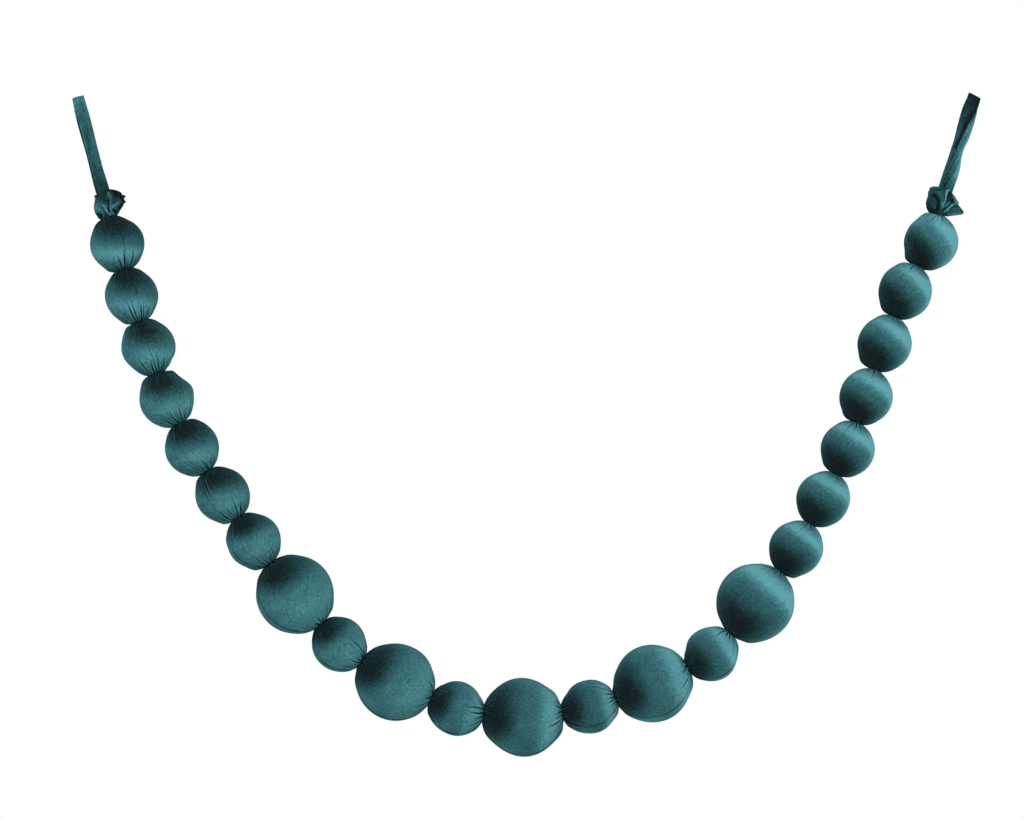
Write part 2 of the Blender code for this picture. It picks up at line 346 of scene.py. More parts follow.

# How the painted sheen and shade of the nap change along the garland, at each ball number. darkEnd is
# the share of the radius past the middle where the painted dark has ended. middle is the tone after it,
# band how much lighter the painted light band is and bandAt the share of the radius where it lies.
# endShade is how much painted shade the far end has. The rims are how much painted light, below 0 painted
# shade, the outer and the inner edge of the ball get, the sides how much painted light the two sides of
# the dark get, and outerShade how much painted shade the outer side of the light gets. streak is how much
# the gathers show in the painted tone, gathers how strong they are, and seamShow how dark the seam is.
napSheenStops = {
    "ball": (1.0, 3.0, 6.0, 7.5, 10.0, 12.0, 13.0, 14.0, 15.0, 17.0, 21.0, 22.0, 23.0),
    "darkEnd": (0.36, 0.25, 0.16, 0.00, 0.02, 0.10, 0.16, 0.10, 0.14, 0.18, 0.10, 0.12, 0.04),
    "middle": (0.60, 0.60, 0.61, 0.66, 0.61, 0.52, 0.47, 0.53, 0.49, 0.47, 0.52, 0.53, 0.60),
    "band": (0.28, 0.20, 0.14, 0.08, 0.16, 0.36, 0.44, 0.38, 0.50, 0.50, 0.54, 0.54, 0.52),
    "bandAt": (0.44, 0.40, 0.38, 0.45, 0.58, 0.68, 0.74, 0.70, 0.64, 0.62, 0.58, 0.58, 0.60),
    "endShade": (0.20, 0.24, 0.16, 0.00, 0.00, 0.00, 0.00, 0.00, 0.00, 0.14, 0.28, 0.28, 0.28),
    "outerRim": (0.10, 0.14, 0.02, -0.14, -0.20, 0.00, 0.10, 0.15, 0.45, 0.95, 0.95, 0.95, 0.95),
    "outerShade": (0.16, 0.30, 0.34, 0.26, 0.20, 0.16, 0.08, 0.06, 0.00, 0.00, 0.00, 0.00, 0.00),
    "innerRim": (-0.05, 0.12, -0.10, 0.05, 0.10, 0.22, 0.32, 0.30, 0.38, 0.22, 0.14, 0.20, 0.50),
    "innerSide": (0.24, 0.44, 0.28, 0.48, 0.34, 0.26, 0.24, 0.26, 0.24, 0.08, 0.08, 0.08, 0.04),
    "outerSide": (0.56, 0.76, 0.68, 0.94, 1.20, 1.00, 0.80, 0.98, 0.62, 0.50, 0.54, 0.50, 0.42),
    "streak": (0.25, 0.85, 0.72, 0.68, 0.60, 0.60, 0.55, 0.50, 0.45, 0.40, 0.35, 0.32, 0.30),
    "gathers": (1.00, 1.00, 0.95, 0.92, 0.90, 0.90, 0.85, 0.80, 0.72, 0.50, 0.50, 0.50, 0.50),
    "seamShow": (0.80, 0.90, 1.00, 1.20, 1.20, 1.20, 1.20, 1.20, 1.00, 0.40, 0.30, 0.30, 0.30),
}

# Where a ball stands out from round or falls short of it: the degrees from its first neck, negative
# on the outer side of the curve, the height in mm and the spread in degrees.
bulges = {
    1: [(-150, 0.6, 15), (-60, -0.5, 22), (-28, -0.8, 12), (34, -1.2, 16), (60, -0.4, 20)],
    2: [(-150, 0.7, 12), (-95, -0.5, 40), (85, -0.7, 50), (-34, -1.0, 14), (142, -1.0, 18)],
    3: [(-35, 0.7, 14), (-118, -0.8, 18), (144, -2.1, 20)],
    4: [(-32, 1.3, 14), (32, 0.9, 10), (58, -0.9, 12), (88, 1.1, 16), (152, -0.9, 12), (-46, 0.5, 12)],
    5: [(42, 0.8, 20), (156, -0.9, 14)],
    6: [(-150, 1.1, 14), (-32, 0.5, 14), (135, 0.7, 24)],
    7: [(-145, 1.3, 14), (-80, -0.7, 22), (90, 0.7, 35), (-52, 0.5, 14)],
    8: [(-75, -0.7, 30), (-38, -0.7, 14)],
    9: [(-90, -0.7, 28), (60, 0.7, 45)],
    10: [(-85, -1.1, 40), (115, 0.8, 25)],
    11: [(-80, -0.9, 22), (70, 0.7, 40), (147, -1.0, 14), (-138, 0.6, 18)],
    12: [(-62, -1.0, 22), (-154, 1.3, 14), (80, 0.6, 35), (150, 0.6, 14), (-24, 1.0, 14)],
    13: [(-152, 1.3, 16), (-75, -0.8, 20), (34, -1.4, 18), (125, 0.7, 25)],
    14: [(-156, 1.5, 14), (38, -1.1, 28), (-60, -0.6, 30), (24, -0.7, 10)],
    15: [(-125, -0.9, 22), (35, -1.8, 18), (142, 0.4, 18)],
    16: [(-32, 0.7, 14), (-78, -0.5, 25), (145, -0.6, 14), (25, -0.7, 12)],
    17: [(-30, 1.6, 14), (-90, -0.4, 20)],
    18: [(-92, -0.8, 30)],
    19: [(33, 0.6, 14), (150, 0.5, 14)],
    20: [(28, 0.8, 12), (90, -0.7, 35), (-150, -1.0, 18)],
    21: [(33, 1.8, 16), (98, -0.5, 20), (158, 0.8, 12)],
    22: [(30, 1.3, 14), (-105, -0.6, 22), (142, 0.6, 16), (-152, -1.4, 18), (82, -0.6, 18)],
    23: [(29, 2.2, 14), (148, 1.8, 16), (-150, -1.2, 15), (88, -0.5, 16)],
}

# Single creases that run further than the gathers: the angle round the tube, how far from the first
# neck it runs in degrees, and the depth in mm.
creases = {
    2: [(-96, 70, 0.6)],
    4: [(-58, 62, 0.7), (-50, 56, 0.6)],
    5: [(-82, 66, 0.6)],
    6: [(-74, 88, 1.1), (-84, 74, 1.0), (-93, 60, 0.7)],
    8: [(-30, 120, 0.5)],
    13: [(-56, 84, 1.1), (-66, 66, 0.7)],
}

ballLook = {
    "rowsSmall": 72, "rowsLarge": 84,
    "colsSmall": 192, "colsLarge": 216,
    "neckRows": 6,
    "bunch": 0.10,             # how much the rows bunch towards the necks
    "seamBunch": 0.35,         # and the columns towards the seam
    "neckRadius": 5.2 * mm,
    "tuck": 0.7 * mm,          # how far a neck runs on inside the next ball
    "stubTapers": (1.4 * mm, 0.3 * mm),  # how much narrower the two rings of that stub are
    "stubDepths": (1.0, 0.4),  # and how far in they lie, in shares of the tuck
    "fullness": 0.7 * mm,      # of the gathers, beyond the ball
    "fullnessAt": 29.0,        # degrees from the neck
    "fullnessSpread": 12.0,
    "pleats": 24,              # at each neck
    "pleatStray": 0.34,        # from its even place, in shares of the step between two
    "pleatDepth": 1.25 * mm,
    "pleatDepths": (0.75, 1.15),
    "pleatWidth": 0.48 * mm,
    "pleatWidths": (0.75, 1.3),
    "pleatLengths": (0.70, 0.75),  # the least share of the reach, and how much more there may be
    "pleatBend": 0.22,
    "largePleats": 1.25,       # how much wider they are on a large ball
    "farReach": 1.08,          # how much further they run from the second neck
    "reachSmall": 60.0,        # degrees from the neck that a middling pleat runs
    "reachLarge": 42.0,
    "creaseWidth": 0.85 * mm,
    "waves": 5,                # slow waves that take the ball a little out of round
    "waveHeight": 0.004,       # of the radius
    "seamDepth": 0.30 * mm,
    "seamWidth": 0.60 * mm,
    "seamWaver": 0.25 * mm,
    "seamLine": 0.42 * mm,
    "seamShows": (0.55, 0.45),  # the least that the line shows, and how much more it may
    "seamTurned": 0.22,        # the line gets wider as it turns to the side, to 1 / 0.22 times at most
    "headingFrom": 0.3,        # radians from each neck, where the rings start and stop turning
    # From here, the numbers of the painted sheen and shade of the nap, of the painted shade in the
    # creases, the painted highlight on the ridges and the painted shade near the necks.
    "darkFrom": -0.70,         # the share of the radius where the dark starts to lighten
    "bandSpread": 0.29,
    "endFrom": 0.5,            # where the far end's shade starts
    "endOver": 0.4,
    "rimPower": 1.6,
    "rimFade": 0.25,
    "sidePower": 1.5,
    "toneTop": 1.05,
    "edgeOnFacing": 0.45,      # how squarely a surface must face to keep its whole tone
    "edgeOnTone": 0.45,        # the tone that one seen edge-on comes back towards
    "edgeOnPull": 0.55,
    # painted shade in the creases of the gathers and painted highlight on their ridges
    "crease": 0.80,
    "creaseFull": 0.55,        # of the pleats' depth, where a crease is at its darkest
    "ridge": 0.20,
    "ridgeFull": 0.35,
    "firstRidge": 0.5,         # how much of the ridges' light the first ball has
    "neckShade": 0.45,
    "neckShadeSpread": 15.0,   # degrees
}


# Each ball's middle, radius, headings in and out and half necks. Each middle is a radius, a neck and a
# radius on from the one before. The first ball touches the left side of the tube's box, and the
# lowest one its bottom.
def ballPlaces():
    low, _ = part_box("velvet_tube")
    radii = [hang[row[0] + "Radius"] for row in ballRows]
    headings = [hang["firstNeckHeading"]] + [row[2] for row in ballRows]
    necks = [hang["firstNeck"]] + [row[1] * mm for row in ballRows]
    middles = [np.zeros(3)]
    for k in range(1, len(ballRows)):
        step = radii[k - 1] + necks[k] + radii[k]
        middles.append(middles[-1] + step * along(headings[k]))
    middles = np.array(middles)
    bottom = np.min(middles[:, 2] - np.array(radii))
    middles += np.array([low.x + radii[0], 0.0, low.z - bottom])
    return [
        {
            "middle": middles[k],
            "radius": radii[k],
            "headings": (headings[k], headings[k + 1]),
            "halfNecks": (necks[k] / 2.0, necks[k + 1] / 2.0),
        }
        for k in range(len(ballRows))
    ]


# The outline of a ball from neck to neck, as distances out from the tube's middle line and along it.
# It is a circle, with the straight lines that touch it and end on the neck's ring, and a short
# tucked-in stub past each ring.
def ballOutline(radius, halfNecks, rows):
    neck, tuck = ballLook["neckRadius"], ballLook["tuck"]
    ends = []
    for half in halfNecks:
        tip = math.atan2(neck, radius + half)
        touch = tip + math.acos(radius / math.hypot(neck, radius + half))
        line = np.linspace(0.0, 1.0, ballLook["neckRows"])[:-1]
        out = neck + (radius * math.sin(touch) - neck) * line
        ahead = (radius + half) + (radius * math.cos(touch) - radius - half) * line
        stubOut = [neck - taper for taper in ballLook["stubTapers"]]
        stubAhead = [radius + half + depth * tuck for depth in ballLook["stubDepths"]]
        ends.append((touch, np.append(stubOut, out), np.append(stubAhead, ahead)))
    (first, firstOut, firstAhead), (last, lastOut, lastAhead) = ends
    share = np.linspace(0.0, 1.0, rows)
    share = share - ballLook["bunch"] * np.sin(2.0 * np.pi * share)
    turn = first + (math.pi - first - last) * share
    out = np.concatenate([firstOut, radius * np.sin(turn), lastOut[::-1]])
    ahead = np.concatenate([-firstAhead, -radius * np.cos(turn), lastAhead[::-1]])
    return out, ahead, np.arctan2(out, -ahead)


# The gathers round one neck. Each pleat is a trough along its own slightly bent line, the shape of
# 1 / (1 + (x / w) squared) to the power 1.5, between two ridges half as high, bells 1.2 w wide and
# 2.2 w away. Its w grows from 0.65 to 1.45 of its width along its length, and it fades out over the last
# 0.65 of it. Most are short, and a few run far.
def pleatField(fromNeck, turn, ring, scale, reach, strength, rng):
    height = np.zeros(np.broadcast_shapes(fromNeck.shape, turn.shape))
    count, stray, bend = ballLook["pleats"], ballLook["pleatStray"], ballLook["pleatBend"]
    shortest, further = ballLook["pleatLengths"]
    for k in range(count):
        middle = 2.0 * math.pi * (k + rng.uniform(-stray, stray)) / count
        length = math.radians(reach * strength**0.4 * (shortest + further * rng.random() ** 2.0))
        depth = ballLook["pleatDepth"] * strength * rng.uniform(*ballLook["pleatDepths"])
        width = ballLook["pleatWidth"] * rng.uniform(*ballLook["pleatWidths"]) * scale
        bent = rng.uniform(-bend, bend)
        fade = smoothStep((length - fromNeck) / (0.65 * length))
        x = wrapped(turn - middle - bent * fromNeck) * ring
        wide = width * (0.65 + 0.8 * np.clip(fromNeck / length, 0.0, 1.0))
        ridges = np.exp(-(((np.abs(x) - 2.2 * wide) / (1.2 * wide)) ** 2))
        height += depth * fade * (0.5 * ridges - (1.0 + (x / wide) ** 2) ** -1.5)
    return height


# A low lump or hollow: a bell over the angle between each point's direction and the lump's.
def lump(theta, phi, degrees, height, spread):
    at, side = math.radians(abs(degrees)), (0.0 if degrees < 0.0 else math.pi)
    dot = np.cos(theta) * math.cos(at) + np.sin(theta) * math.sin(at) * np.cos(phi - side)
    away = np.degrees(np.arccos(np.clip(dot, -1.0, 1.0)))
    return height * mm * np.exp(-((away / spread) ** 2))


# The painted sheen and shade of a ball's nap, as a tone from 0 dark to 1 light, from the way its surface
# faces. With a for the share of the radius along the nap, it rises by a smooth step from the painted dark
# by the neck to the middle tone, gets a bell-shaped painted light band, and gets painted shade towards the
# far neck and on the outer side. Each side of the dark is lighter by the share of the radius on that side
# to the power 1.5, and each rim by how far the surface turns from the viewer to the power 1.6. The tone
# stops at
# 1.05, and where the surface is seen edge-on, a light tone comes part of the way back to a middling one.
# Last, in the dark, the sides of the gathers get painted light. The back of the garland mirrors its front.
def ballTone(number, normals, smoothNormals, heading, turn):
    nap = {key: float(np.interp(number, napSheenStops["ball"], values)) for key, values in napSheenStops.items()}
    forward, inner = along(heading), -outward(heading)
    turn = math.radians(turn)
    blend = nap["streak"] * normals + (1.0 - nap["streak"]) * smoothNormals
    a = blend @ (math.cos(turn) * forward - math.sin(turn) * inner)
    facing, smoothFacing = np.abs(normals[..., 1]), np.abs(smoothNormals[..., 1])
    lit = smoothStep((a - ballLook["darkFrom"]) / (nap["darkEnd"] - ballLook["darkFrom"]))
    tone = nap["middle"] * lit
    tone = tone + nap["band"] * np.exp(-(((a - nap["bandAt"]) / ballLook["bandSpread"]) ** 2))
    farEnd = smoothStep((smoothNormals @ forward - ballLook["endFrom"]) / ballLook["endOver"])
    tone = tone * (1.0 - nap["endShade"] * farEnd)
    rim = (1.0 - smoothFacing) ** ballLook["rimPower"]
    rim = rim * (0.5 + 0.5 * smoothStep(smoothFacing / ballLook["rimFade"]))
    inward = smoothNormals @ inner
    tone = tone * (1.0 - nap["outerShade"] * np.clip(-inward, 0.0, 1.0) * smoothStep((a + 0.1) / 0.4))
    side = np.where(inward > 0.0, nap["innerSide"], nap["outerSide"])
    tone = tone + side * np.abs(inward) ** ballLook["sidePower"] * (1.0 - lit)
    tone = tone + rim * np.where(inward > 0.0, nap["innerRim"] * inward, -nap["outerRim"] * inward)
    tone = np.minimum(tone, ballLook["toneTop"])
    edgeOn = 1.0 - smoothStep(smoothFacing / ballLook["edgeOnFacing"])
    tone = tone - ballLook["edgeOnPull"] * edgeOn * np.maximum(tone - ballLook["edgeOnTone"], 0.0)
    return tone + nap["streak"] * np.clip(smoothFacing - facing, 0.0, 0.5) * (1.0 - lit)


# Points, UV and attributes of one ball. The outline is carried round in rings whose planes turn evenly
# from the heading in to the heading out, and raised along its own normal by the gathers, by creases,
# waves and lumps and by the seam. A crease is a bell-shaped trough between two ridges half as high, and
# the seam is a groove with one such ridge beside it.
def ballSurface(number, place, row):
    rng = np.random.default_rng(400 + number)
    size, _, _, seamDegrees, darkTurn = row
    radius, (headIn, headOut) = place["radius"], place["headings"]
    kind = size.capitalize()
    out, ahead, theta = ballOutline(radius, place["halfNecks"], ballLook["rows" + kind])
    slopeOut, slopeAhead = np.gradient(out), np.gradient(ahead)
    slope = np.hypot(slopeOut, slopeAhead)
    normalOut, normalAhead = (slopeAhead / slope)[:, None], (-slopeOut / slope)[:, None]

    cols = ballLook["cols" + kind]
    step = 2.0 * math.pi * np.arange(cols) / cols
    seam = math.radians(seamDegrees)
    fromSeam = step - ballLook["seamBunch"] * np.sin(step)
    phi, theta, ring = (seam + fromSeam)[None, :], theta[:, None], out[:, None]
    scale, reach = (ballLook["largePleats"] if size == "large" else 1.0), ballLook["reach" + kind]
    strength = float(np.interp(number, napSheenStops["ball"], napSheenStops["gathers"]))
    pleats = pleatField(theta, phi, ring, scale, reach, strength, rng)
    farReach = ballLook["farReach"] * reach
    pleats += pleatField(math.pi - theta, phi, ring, scale, farReach, strength, rng)

    for creaseTurn, length, depth in creases.get(number, []):
        fade = smoothStep((math.radians(length) - theta) / math.radians(0.6 * length))
        x = wrapped(phi - math.radians(creaseTurn)) * ring / ballLook["creaseWidth"]
        trough = np.exp(-(x**2)) - 0.5 * np.exp(-(((np.abs(x) - 2.0) / 1.1) ** 2))
        pleats -= depth * mm * fade * trough

    shape = np.zeros_like(pleats)
    for k in range(ballLook["waves"]):
        around, lengthwise = rng.integers(1, 4), rng.uniform(1.0, 2.6)
        start, swing = rng.uniform(0.0, 2.0 * math.pi, 2)
        wave = np.sin(around * phi + start)
        shape += ballLook["waveHeight"] * radius * wave * np.sin(lengthwise * theta + swing)
    shape *= np.sin(theta)
    for bulge in bulges[number]:
        shape += lump(theta, phi, *bulge)
    for fromNeck in (theta, math.pi - theta):
        full = (np.degrees(fromNeck) - ballLook["fullnessAt"]) / ballLook["fullnessSpread"]
        shape += ballLook["fullness"] * np.exp(-(full**2))
    x = wrapped(fromSeam[None, :]) * ring
    x = x + ballLook["seamWaver"] * np.sin(9.0 * theta + number)
    seamX = x / ballLook["seamWidth"]
    seamGroove = 0.5 * np.exp(-(((seamX - 1.6) / 1.5) ** 2)) - np.exp(-(seamX**2))
    seamGroove *= ballLook["seamDepth"]
    rowNumber = np.arange(len(out))
    ends = smoothStep((np.minimum(rowNumber, rowNumber[::-1]) - 1.0) / 3.0)[:, None]
    height = ends * (pleats + shape + seamGroove * np.sin(theta))

    turnFrom = ballLook["headingFrom"]
    share = np.clip((theta - turnFrom) / (math.pi - 2.0 * turnFrom), 0.0, 1.0)[:, 0]
    heading = headIn + share * (headOut - headIn)
    forward, side = along(heading)[:, None, :], outward(heading)[:, None, :]
    spoke = np.cos(phi)[..., None] * side + np.sin(phi)[..., None] * back
    points = (
        place["middle"]
        + (ahead[:, None] + height * normalAhead)[..., None] * forward
        + (ring + height * normalOut)[..., None] * spoke
    )

    smoothNormals = normalAhead[..., None] * forward + normalOut[..., None] * spoke
    tone = ballTone(number, gridNormals(points, True), smoothNormals, (headIn + headOut) / 2.0, darkTurn)
    # Painted shade in the creases of the gathers, painted highlight on their ridges, and painted shade
    # near the necks.
    crease = np.clip(-pleats / (ballLook["creaseFull"] * ballLook["pleatDepth"]), 0.0, 1.2)
    ridge = np.clip(pleats / (ballLook["ridgeFull"] * ballLook["pleatDepth"]), 0.0, 1.0)
    ridgeLight = ballLook["ridge"] * (ballLook["firstRidge"] if number == 1 else 1.0)
    tone = tone * (1.0 - ballLook["crease"] * crease) + ridgeLight * ridge
    nearNeck = np.degrees(np.minimum(theta, math.pi - theta))
    neckShade = ballLook["neckShade"] * np.exp(-((nearNeck / ballLook["neckShadeSpread"]) ** 2))
    tone = tone * (1.0 - neckShade)
    show = float(np.interp(number, napSheenStops["ball"], napSheenStops["seamShow"]))
    least, further = ballLook["seamShows"]
    show = show * (least + further * np.sin(3.0 * theta + 1.7 * number) ** 2)
    halfWidth = ballLook["seamLine"] / max(math.sin(seam) ** 2, ballLook["seamTurned"])
    # it falls below 0 beside the line, which keeps the line's edge sharp between two points
    seamLine = np.maximum(show * (1.0 - np.abs(x) / halfWidth), -3.0)

    run = np.append(0.0, np.cumsum(np.hypot(np.diff(out), np.diff(ahead))))
    around = np.append(fromSeam, 2.0 * math.pi) * radius
    uv = np.stack(np.broadcast_arrays(around[None, :], run[:, None]), axis=-1)
    return points, uv, {"tone": np.clip(tone, 0.0, 1.1), "seam": seamLine}


def makeBalls(places, material):
    for number, (place, row) in enumerate(zip(places, ballRows), start=1):
        points, uv, attributes = ballSurface(number, place, row)
        piece = clothPiece("ball_%02d" % number, points, True, True, uv, attributes, material)
        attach(piece, "root")
        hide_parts("velvet_tube")
    print("balls made:", len(places))


# Folds and curves that the frills and the strap loops share

# A smooth curve through the rows of a table, over its first column: a cubic in each other column, with
# the slopes of the table's own differences.
def curveThrough(table, at):
    table = np.array(table, float)
    knots, values = table[:, 0], table[:, 1:]
    slopes = np.gradient(values, knots, axis=0)
    k = np.clip(np.searchsorted(knots, at, side="right") - 1, 0, len(knots) - 2)
    gap = (knots[k + 1] - knots[k])[..., None]
    t = np.clip((at - knots[k])[..., None] / gap, 0.0, 1.0)
    rise, slopeHere, slopeNext = values[k + 1] - values[k], slopes[k] * gap, slopes[k + 1] * gap
    bend = (3.0 * rise - 2.0 * slopeHere - slopeNext) * t**2
    return values[k] + slopeHere * t + bend + (slopeHere + slopeNext - 2.0 * rise) * t**3


# The height that folds add, and the painted shade or light that they add to the tone, both in a bell
# across the line each fold runs along. Places are in mm, to the right and up.
def foldField(folds, x, z):
    height, tone = np.zeros(x.shape), np.zeros(x.shape)
    for rising, width, shade, line in folds:
        away = np.full(x.shape, 1e3)
        for (x0, z0), (x1, z1) in zip(line, line[1:]):
            runX, runZ = x1 - x0, z1 - z0
            t = np.clip(((x - x0) * runX + (z - z0) * runZ) / (runX**2 + runZ**2), 0.0, 1.0)
            away = np.minimum(away, np.hypot(x - x0 - t * runX, z - z0 - t * runZ))
        bell = np.exp(-((away / width) ** 2))
        height += rising * bell
        tone += shade * bell
    return height, tone


# Left, middle and right values joined across a piece by the parabola through them, for u from -1 to 1.
def acrossTone(left, middle, right, u):
    return middle + (right - left) / 2.0 * u + ((left + right) / 2.0 - middle) * u**2


# Gives a sheet its thickness, half of it on each side.
def thicken(piece, thickness):
    solidify = piece.modifiers.new("thickness", "SOLIDIFY")
    solidify.thickness = thickness
    solidify.offset = 0.0


# The frills, which are the open ends of the velvet tube past its first and last ties

frillLook = {
    "rows": 44,
    "cols": 300,
    "neckRadius": 4.9 * mm,
    "thickness": 0.9 * mm,
    "foot": 0.8 * mm,     # how far the gathered foot runs down into the neck
    "footPleats": 16,
    "footDepth": 1.0 * mm,
    # footTone is painted light on the ridges of the foot's gathers and painted shade between them, and
    # footShade painted shade at the foot.
    "footTone": 0.10,
    "footShade": 0.4,
    "lipFrom": 0.90,      # the share of the height where the lip starts to turn
    "lipOver": 0.10,
    "lipShadeFrom": 0.92,
    "toneSpan": 10.0,     # mm from the middle to where the left and right tones hold
    "edgeLight": 0.16,    # of the raw edge in front, as far to the right as edgeTo, in mm
    "edgeFrom": 0.965,
    "edgeTo": 1.6,
    "tubeWidth": 112.0 * mm,  # round the tube when it is cut
    "tubeEnd": 21.0 * mm,
}

# Each frill: its heading, which way from its tie it stands and the ball it rests on. lip is how far its
# raw edge turns out and lipShade how much painted shade darkens it. sag lowers the foot on the outer side,
# frontGathers is the share of the gathers that the front has, and toneMiddle is where the middle tone
# lies.
# The rim: the angle round the tube from its outer side by way of the back, how far out it reaches, how
# high it rises, how quickly the cloth swings out, and a swell a third of the way up. The tones are the
# painted
# sheen and shade of the nap: the height, and the tone at the left, middle and right. The folds: the
# height, the width, the painted shade or light along it, and the places each runs through, to the right of
# the neck and above it. Lengths are in mm.
leftFrill = {
    "heading": -97.0,
    "away": -1.0,
    "restsOn": "ball_01",
    "lip": 0.9,
    "lipShade": 0.75,
    "sag": 1.7,
    "frontGathers": 0.45,
    "toneMiddle": 1.8,
    "rim": [
        (0, 11.9, 15.6, 4.6, 0.2), (12, 10.6, 17, 2.4, 0), (28, 11, 17.6, 2, 0), (45, 9.4, 19, 1.8, 0),
        (65, 9.4, 20, 1.6, 0), (90, 7.6, 20.6, 1.6, 0), (115, 9, 20.6, 1.5, 0),
        (138, 8.8, 20.6, 1.3, 0), (150, 9, 20.8, 1.2, 0), (160, 10.2, 20.4, 1.1, 0),
        (168, 11.4, 19.8, 1.1, 0), (175, 10.4, 17.2, 1.2, 0), (183, 12.8, 15.2, 1.35, 0),
        (191, 9.4, 18, 1.3, 0), (198, 9.8, 20.6, 1.3, 0), (206, 10.5, 21.2, 1.5, 0.2),
        (214, 10.4, 21.7, 1.7, 0.4), (228, 9.6, 22.4, 2, 0.6), (245, 8.6, 22.9, 2.4, 0.6),
        (262, 8.6, 23, 2.6, 0.6), (285, 7, 22.2, 2.8, 1), (308, 8, 20.2, 3, 1),
        (330, 9.8, 17.6, 3.8, 0.8), (348, 11.6, 16.8, 4.6, 0.2),
    ],
    "tones": [
        (-2, 0.2, 0.15, 0.15), (6, 0.6, 0.55, 0.4), (13, 0.4, 0.3, 0.35), (22, 0.2, 0.15, 0.05),
    ],
    "frontFolds": [
        (1.2, 1.3, 0.34, [(2.5, 19.8), (2.8, 18.2), (3.6, 16.8)]),
        (0.8, 0.7, 0.24, [(4.1, 15.6), (3.8, 11.6), (3.7, 7.6), (4.3, 4.6), (4.6, 2.8)]),
        (-1.5, 0.8, -0.85, [(2, 13.4), (2, 8.6), (2.1, 5.4), (2.6, 4.4)]),
        (0.5, 0.5, 0.12, [(0.6, 13), (0.5, 9), (0.9, 5.8)]),
        (1.1, 0.6, 0.34, [(-3.1, 9.8), (-1.4, 8.6), (-0.5, 6.6), (0.7, 4.6), (2.3, 2.6), (3.3, 1.8)]),
        (-0.9, 0.9, -0.22, [(-3, 8), (-1.9, 6.2), (-0.7, 3.8), (0.7, 2)]),
        (0.7, 0.5, 0.24, [(-5.1, 6), (-3.6, 3.6), (-2.5, 1.6), (-1.9, 0.2)]),
        (-0.8, 0.6, -0.14, [(-4.5, 4), (-3.5, 2), (-2.9, 0.4)]),
        (-1.8, 1, -0.6, [(-7.3, 2.7), (-5.3, 1.6), (-4.1, 0.8)]),
        (1, 0.7, 0.3, [(12.1, 15.4), (10.7, 12.8), (8.3, 11), (6.3, 9.4), (5.3, 7.8)]),
        (0.4, 1.2, 0.06, [(9.3, 10.2), (7.5, 8)]),
        (-1.5, 1, -0.65, [(13, 13.4), (12, 11.4), (10.4, 9), (9.2, 7.2)]),
        (-1.6, 1.1, -0.7, [(5.8, 5.8), (7.2, 4.6)]),
        (0.6, 0.6, 0.14, [(7.5, 6.6), (8.7, 4.6), (8.5, 3)]),
        (-1.2, 2.6, -0.16, [(7.6, 18.4), (10.7, 17.6)]),
        (-0.8, 2, -0.14, [(-6.6, 16.2), (-3.5, 15.4), (-1.2, 12.6)]),
        (0.6, 1.2, 0.06, [(-8.7, 12), (-8.3, 8.2), (-6.5, 5.6)]),
        (-1, 0.6, -0.16, [(13.7, 16.6), (14.3, 14.8)]),
    ],
    "backFolds": [
        (-2, 1.5, -0.22, [(-5, 2), (-10.6, 16)]),
        (1.3, 1.6, 0.12, [(-4.2, 2), (-8, 19)]),
        (-2.3, 1.4, -0.25, [(-3, 2), (-4.8, 19.6)]),
        (1.3, 1.5, 0.12, [(-1.2, 2), (-2, 20.4)]),
        (-2, 1.3, -0.22, [(0.4, 2), (1.2, 20.6)]),
        (1.3, 1.5, 0.12, [(2, 2), (4.4, 20)]),
        (-2.3, 1.4, -0.25, [(3.4, 2), (7.4, 19.4)]),
        (1.2, 1.5, 0.1, [(4.6, 2), (10.6, 18)]),
    ],
}

